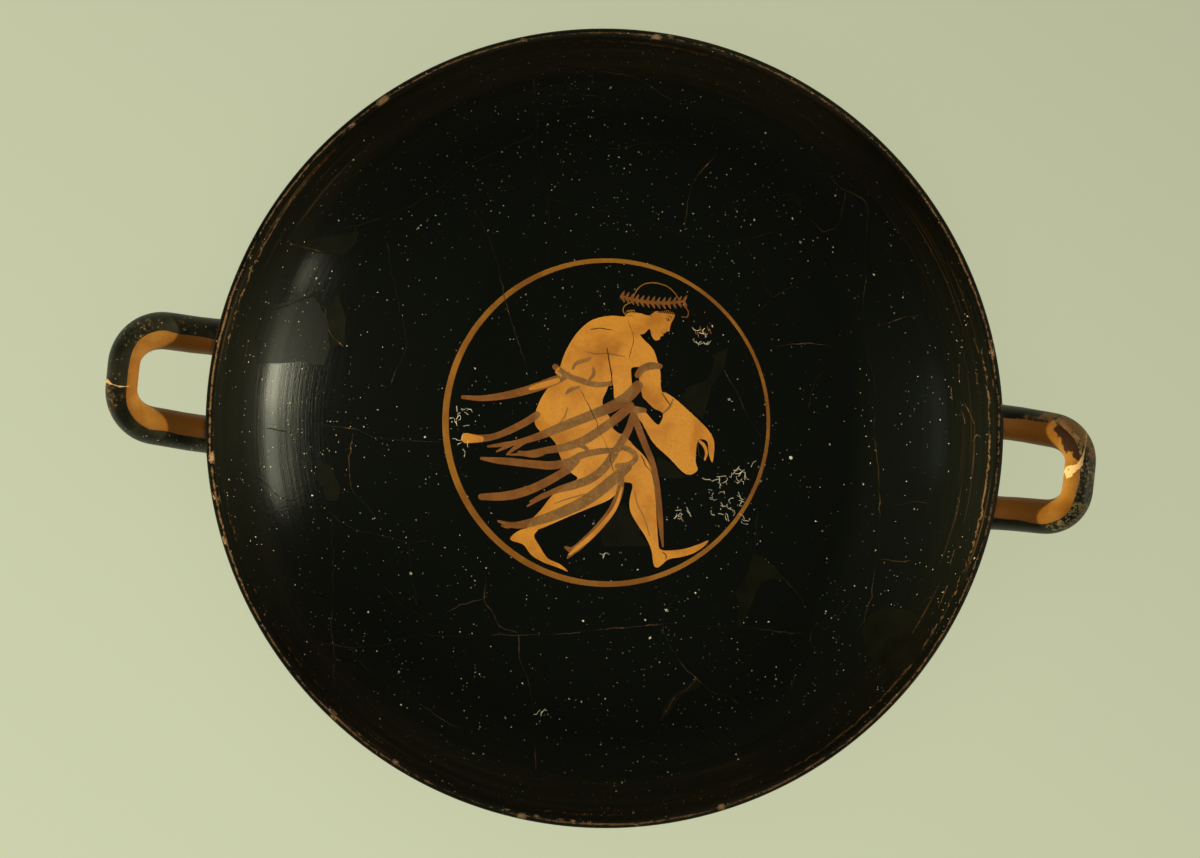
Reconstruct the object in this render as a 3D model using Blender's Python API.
"""A two-handled drinking cup of fired clay, a kylix: a wide shallow bowl on a slim stem and a disc foot.

The whole cup is one solid, as it was fired. Its axis is Z, it stands on Z = 0, and its handles lie along X.
The wall of the bowl follows one middle line of two arcs, and both of its faces are set off from that line.
"""

import math

import bpy
from mathutils import Vector

MM = 0.001

# Bowl
RIM_RADIUS = 160 * MM
CUP_HEIGHT = 124 * MM
BOWL_DEPTH = 72 * MM
LIP_THICKNESS = 3.8 * MM
FLOOR_THICKNESS = 6.5 * MM
SHOULDER_ANGLE = math.radians(36)
RIM_ANGLE = math.radians(66)

# Stem and foot
STEM_JOIN_RADIUS = 31 * MM
WAIST_RADIUS = 11.5 * MM
WAIST_HEIGHT = 29 * MM
FOOT_RADIUS = 62 * MM
FOOT_EDGE_HEIGHT = 8.4 * MM
LEDGE_WIDTH = 7 * MM
LEDGE_HEIGHT = 1.2 * MM
LEDGE_BEVEL = 0.8 * MM
REST_WIDTH = 6 * MM
REST_STEP = 1.4 * MM
HOLLOW_RADIUS = 21 * MM
HOLLOW_MOUTH_HEIGHT = 7 * MM
HOLLOW_NECK_RADIUS = 4 * MM
HOLLOW_HEIGHT = 35 * MM

# Handles. Each is a round bar that leaves the wall nearly level, rises and turns back at its grip.
# A handle's length is how far it stands out beyond the rim, and a spread is how far an arm's middle lies
# from the handle's own line. Left and right are as one looks outward along that line.
LEFT_HANDLE_LENGTH = 40.2 * MM
RIGHT_HANDLE_LENGTH = 37.0 * MM
GRIP_DROP = 3 * MM
ROOT_SLOPE = math.tan(math.radians(10))
GRIP_SLOPE = math.tan(math.radians(30))
RISE_LENGTH = 48 * MM
FLARE_LENGTH = 5 * MM
LEFT_HANDLE = {
    "name": "left",
    "turn": math.pi,
    "reach": RIM_RADIUS + LEFT_HANDLE_LENGTH,
    "corner_radius": 14.6 * MM,
    "left_arm_spread_at_rim": 19.3 * MM,
    "left_arm_spread_at_corner": 17.5 * MM,
    "right_arm_spread_at_rim": 20.1 * MM,
    "right_arm_spread_at_corner": 21.0 * MM,
    "root_thickness": 24 * MM,
    "arm_thickness": 15.0 * MM,
    "grip_thickness": 12.9 * MM,
}
RIGHT_HANDLE = {
    "name": "right",
    "turn": 0.0,
    "reach": RIM_RADIUS + RIGHT_HANDLE_LENGTH,
    "corner_radius": 12.0 * MM,
    "left_arm_spread_at_rim": 19.2 * MM,
    "left_arm_spread_at_corner": 17.9 * MM,
    "right_arm_spread_at_rim": 17.6 * MM,
    "right_arm_spread_at_corner": 17.0 * MM,
    "root_thickness": 22 * MM,
    "arm_thickness": 13.8 * MM,
    "grip_thickness": 12.5 * MM,
}

# Fineness of the faces
TURN_STEPS = 64
FLOOR_STEPS = 9
WALL_STEPS = 6
LIP_STEPS = 6
STEM_STEPS = 6
EDGE_STEPS = 6
ARM_STEPS = 7
CORNER_STEPS = 6
BAR_BEVEL_RESOLUTION = 6
MERGE = 0.01 * MM
PLUG_HEADROOM = 5 * MM


def clear_scene():
    for old in list(bpy.data.objects):
        bpy.data.objects.remove(old, do_unlink=True)


def clay_material():
    """Black gloss over orange clay. The gloss covers nearly all of the cup."""
    material = bpy.data.materials.new("black_gloss")
    material.use_nodes = True
    shader = material.node_tree.nodes["Principled BSDF"]
    shader.inputs["Base Color"].default_value = (0.012, 0.012, 0.008, 1)
    shader.inputs["Roughness"].default_value = 0.22
    shader.inputs["Metallic"].default_value = 0.0
    return material


def bezier(start, start_pull, end_pull, end, steps):
    """Points of one cubic curve after its start, up to and with its end."""
    points = []
    for i in range(1, steps + 1):
        t = i / steps
        points.append(
            (1 - t) ** 3 * start
            + 3 * t * (1 - t) ** 2 * start_pull
            + 3 * t**2 * (1 - t) * end_pull
            + t**3 * end
        )
    return points


class WallLine:
    """The middle line of the bowl's wall in section: a wide arc for the floor, then a tighter one."""

    def __init__(self):
        self.lip_centre = Vector((RIM_RADIUS - LIP_THICKNESS / 2, CUP_HEIGHT - LIP_THICKNESS / 2))
        self.base = CUP_HEIGHT - BOWL_DEPTH - FLOOR_THICKNESS / 2
        shoulder_sine, shoulder_cosine = math.sin(SHOULDER_ANGLE), math.cos(SHOULDER_ANGLE)
        sine_gain = math.sin(RIM_ANGLE) - shoulder_sine
        cosine_drop = shoulder_cosine - math.cos(RIM_ANGLE)
        rise = self.lip_centre.y - self.base
        # The two radii that bring the arcs from the axis to the lip's centre.
        scale = shoulder_sine * cosine_drop - sine_gain * (1 - shoulder_cosine)
        self.floor_arc = (cosine_drop * self.lip_centre.x - sine_gain * rise) / scale
        self.wall_arc = (shoulder_sine * rise - (1 - shoulder_cosine) * self.lip_centre.x) / scale

    def point(self, angle):
        """The line's point where it has climbed to this slope."""
        if angle <= SHOULDER_ANGLE:
            radius = self.floor_arc * math.sin(angle)
            height = self.base + self.floor_arc * (1 - math.cos(angle))
            return Vector((radius, height))
        radius = self.lip_centre.x - self.wall_arc * (math.sin(RIM_ANGLE) - math.sin(angle))
        height = self.lip_centre.y - self.wall_arc * (math.cos(angle) - math.cos(RIM_ANGLE))
        return Vector((radius, height))

    def face_point(self, angle, side):
        """A point of the wall's inner face (side 1) or outer face (side -1). It thins towards the lip."""
        centre = self.point(angle)
        share = centre.x / self.lip_centre.x
        thickness = FLOOR_THICKNESS + (LIP_THICKNESS - FLOOR_THICKNESS) * share
        inward = Vector((-math.sin(angle), math.cos(angle)))
        return centre + inward * side * thickness / 2

    def angles(self):
        floor = [SHOULDER_ANGLE * i / FLOOR_STEPS for i in range(FLOOR_STEPS)]
        wall = [
            SHOULDER_ANGLE + (RIM_ANGLE - SHOULDER_ANGLE) * i / WALL_STEPS
            for i in range(WALL_STEPS + 1)
        ]
        return floor + wall

    def join_angle(self):
        """The slope at which the outer face reaches the stem."""
        return math.asin(STEM_JOIN_RADIUS / self.floor_arc)


def lip_points(line):
    """The round edge between the wall's two faces."""
    points = []
    for i in range(1, LIP_STEPS):
        angle = RIM_ANGLE + math.pi * (0.5 - i / LIP_STEPS)
        reach = Vector((math.cos(angle), math.sin(angle))) * LIP_THICKNESS / 2
        points.append(line.lip_centre + reach)
    return points


def stem_points(line):
    """The hollow curve from the bowl's underside in to the waist, and out again over the foot."""
    join_angle = line.join_angle()
    join = line.face_point(join_angle, -1)
    inward = Vector((-math.cos(join_angle), -math.sin(join_angle)))
    waist = Vector((WAIST_RADIUS, WAIST_HEIGHT))
    drop = join.y - waist.y
    upper = bezier(
        join,
        join + inward * (join.x - waist.x) * 0.75,
        waist + Vector((0, drop * 0.6)),
        waist,
        STEM_STEPS,
    )
    ledge = Vector((FOOT_RADIUS - FOOT_EDGE_HEIGHT / 2 - LEDGE_WIDTH, FOOT_EDGE_HEIGHT + LEDGE_HEIGHT))
    fall = waist.y - ledge.y
    run = ledge.x - waist.x
    lower = bezier(
        waist,
        waist - Vector((0, fall * 0.68)),
        ledge + Vector((-run * 0.62, fall * 0.12)),
        ledge,
        STEM_STEPS,
    )
    return [join] + upper + lower


def foot_points():
    """The ledge on top of the foot, its round edge, the ring it rests on and the hollow below the stem."""
    edge_radius = FOOT_EDGE_HEIGHT / 2
    edge_centre = Vector((FOOT_RADIUS - edge_radius, edge_radius))
    points = [Vector((edge_centre.x - LEDGE_WIDTH + LEDGE_BEVEL, FOOT_EDGE_HEIGHT))]
    for i in range(EDGE_STEPS + 1):
        angle = math.pi * (0.5 - i / EDGE_STEPS)
        points.append(edge_centre + Vector((math.cos(angle), math.sin(angle))) * edge_radius)
    rest_inner = edge_centre.x - REST_WIDTH
    mouth = Vector((HOLLOW_RADIUS, HOLLOW_MOUTH_HEIGHT))
    neck = Vector((HOLLOW_NECK_RADIUS, WAIST_HEIGHT))
    points += [
        Vector((rest_inner, 0)),
        Vector((rest_inner - REST_STEP / 2, REST_STEP)),
        mouth,
    ]
    points += bezier(
        mouth,
        mouth - Vector((mouth.x * 0.55, 0)),
        neck - Vector((0, neck.y * 0.5)),
        neck,
        STEM_STEPS,
    )
    points.append(Vector((HOLLOW_NECK_RADIUS * 0.6, (WAIST_HEIGHT + 2 * HOLLOW_HEIGHT) / 3)))
    points.append(Vector((0, HOLLOW_HEIGHT)))
    return points


def cup_profile(line):
    """The closed section from the floor's middle, over the lip and down the outside to the foot's hollow."""
    inner = [line.face_point(angle, 1) for angle in line.angles()]
    first_outer = line.join_angle()
    outer = [line.face_point(angle, -1) for angle in reversed(line.angles()) if angle > first_outer * 1.2]
    return inner + lip_points(line) + outer + stem_points(line) + foot_points()


def turned(name, points, material):
    """A solid made by turning a section about Z."""
    mesh = bpy.data.meshes.new(name)
    corners = [(p.x, 0, p.y) for p in points]
    mesh.from_pydata(corners, [(i, i + 1) for i in range(len(corners) - 1)], [])
    mesh.materials.append(material)
    solid = bpy.data.objects.new(name, mesh)
    bpy.context.scene.collection.objects.link(solid)
    screw = solid.modifiers.new("turn", "SCREW")
    screw.axis = "Z"
    screw.angle = 2 * math.pi
    screw.steps = TURN_STEPS
    screw.render_steps = TURN_STEPS
    screw.use_merge_vertices = True
    screw.merge_threshold = MERGE
    screw.use_smooth_shade = True
    return solid


def hide_helper(helper):
    helper.hide_render = True
    helper.display_type = "WIRE"


def wall_plug(line, material):
    """The room inside the wall's middle line. It trims the handles' roots, so they end inside the wall."""
    points = [line.point(angle) for angle in line.angles()]
    top = CUP_HEIGHT + PLUG_HEADROOM
    points += [Vector((line.lip_centre.x, top)), Vector((0, top))]
    plug = turned("wall_plug", list(reversed(points)), material)
    hide_helper(plug)
    return plug


def bar_height(inset):
    """Height of the bar's middle, by how far inward it is. It falls in a parabola, then straight."""
    bend = min(inset, RISE_LENGTH)
    drop = GRIP_SLOPE * bend - (GRIP_SLOPE - ROOT_SLOPE) * bend**2 / (2 * RISE_LENGTH)
    drop += ROOT_SLOPE * max(inset - RISE_LENGTH, 0)
    return CUP_HEIGHT - GRIP_DROP - drop


def arm_stations(handle, side, line):
    """(reach, spread, thickness) from one arm's root, inside the wall, round its corner to the grip."""
    radius = handle["corner_radius"]
    arm = handle["arm_thickness"]
    corner_out = handle["reach"] - handle["grip_thickness"] / 2 - radius
    # The wall's middle line is wider than this at the arms' height, so the root ends well inside of it.
    root_out = line.point(SHOULDER_ANGLE).x - arm / 2
    flare_out = RIM_RADIUS + FLARE_LENGTH
    rim_spread = handle[side + "_arm_spread_at_rim"]
    corner_spread = handle[side + "_arm_spread_at_corner"]
    stations = []
    for i in range(ARM_STEPS):
        reach = root_out + (corner_out - root_out) * i / ARM_STEPS
        inset = (corner_out - reach) / (corner_out - RIM_RADIUS)
        spread = corner_spread + (rim_spread - corner_spread) * inset
        flare = max(flare_out - reach, 0) / (flare_out - root_out)
        thickness = arm + (handle["root_thickness"] - arm) * flare**2
        stations.append((reach, spread, thickness))
    for i in range(CORNER_STEPS + 1):
        angle = math.pi / 2 * i / CORNER_STEPS
        thickness = arm + (handle["grip_thickness"] - arm) * i / CORNER_STEPS
        spread = corner_spread - radius + radius * math.cos(angle)
        stations.append((corner_out + radius * math.sin(angle), spread, thickness))
    return stations


def handle_line(handle, line):
    """(point, thickness) along a handle's centre line, for a handle that reaches along +X."""
    left = arm_stations(handle, "left", line)
    right = [(reach, -spread, thickness) for reach, spread, thickness in arm_stations(handle, "right", line)]
    grip_out = handle["reach"] - handle["grip_thickness"] / 2
    return [
        (Vector((reach, across, bar_height(grip_out - reach))), thickness)
        for reach, across, thickness in left + right[::-1]
    ]


def handle_bar(handle, line, plug, material):
    """One handle: a bar of changing thickness along its centre line, trimmed inside the wall."""
    curve = bpy.data.curves.new("handle_line_" + handle["name"], "CURVE")
    curve.dimensions = "3D"
    curve.bevel_depth = handle["grip_thickness"] / 2
    curve.bevel_resolution = BAR_BEVEL_RESOLUTION
    curve.use_fill_caps = True
    stations = handle_line(handle, line)
    spline = curve.splines.new("POLY")
    spline.points.add(len(stations) - 1)
    for point, (place, thickness) in zip(spline.points, stations):
        point.co = (*place, 1)
        point.radius = thickness / handle["grip_thickness"]
    guide = bpy.data.objects.new("handle_guide_" + handle["name"], curve)
    bpy.context.scene.collection.objects.link(guide)
    bpy.context.view_layer.update()
    graph = bpy.context.evaluated_depsgraph_get()
    mesh = bpy.data.meshes.new_from_object(guide.evaluated_get(graph))
    bpy.data.objects.remove(guide)
    mesh.materials.clear()
    mesh.materials.append(material)
    bar = bpy.data.objects.new("handle_" + handle["name"], mesh)
    bpy.context.scene.collection.objects.link(bar)
    bar.rotation_euler = (0, 0, handle["turn"])
    weld = bar.modifiers.new("close_ends", "WELD")
    weld.merge_threshold = MERGE
    trim = bar.modifiers.new("trim_roots", "BOOLEAN")
    trim.operation = "DIFFERENCE"
    trim.object = plug
    hide_helper(bar)
    return bar


def build_kylix():
    clear_scene()
    material = clay_material()
    line = WallLine()
    kylix = turned("kylix", cup_profile(line), material)
    plug = wall_plug(line, material)
    for handle in (LEFT_HANDLE, RIGHT_HANDLE):
        join = kylix.modifiers.new("join_handle_" + handle["name"], "BOOLEAN")
        join.operation = "UNION"
        join.object = handle_bar(handle, line, plug, material)


build_kylix()
